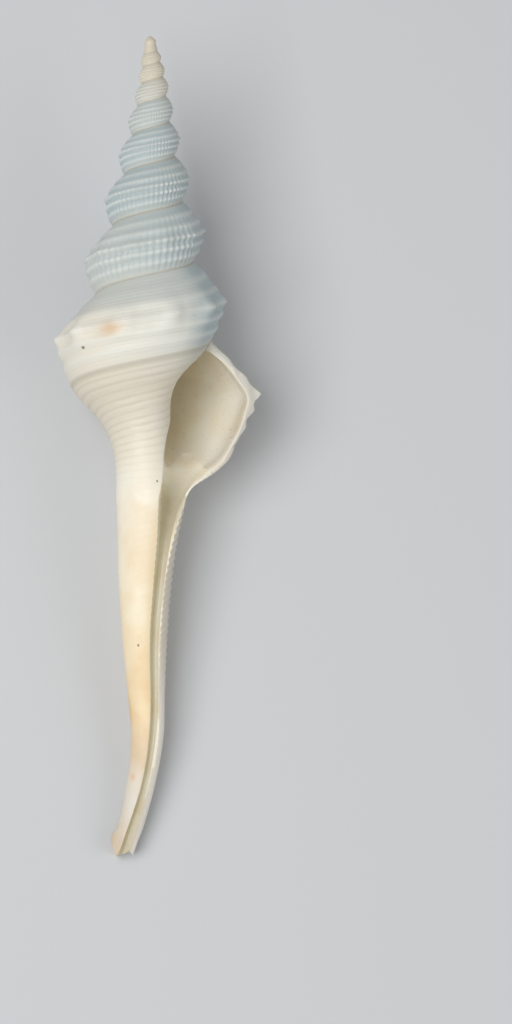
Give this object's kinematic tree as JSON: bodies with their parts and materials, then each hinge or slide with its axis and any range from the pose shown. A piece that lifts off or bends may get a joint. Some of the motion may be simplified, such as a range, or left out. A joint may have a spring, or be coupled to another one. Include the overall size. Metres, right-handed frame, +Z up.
{
  "type": "spindle shell",
  "caption": "White spindle shell lying mouth up: a tall coiled spire, a knobbed body whorl with an open mouth, and a long straight canal with an open groove.",
  "frame": {"origin": "middle of the underside of the lying shell's box, on the surface it rests on", "axes": "+Z up, out of the mouth; +Y along the shell towards the pointed apex; +X to the side of the outer lip"},
  "size_m": [0.0378, 0.1482, 0.0338],
  "materials": {
    "shell": "satin white shell with cream and blue-grey tones"
  },
  "bodies": {
    "root": {"spindle_shell": "shell"}
  },
  "joints": []
}
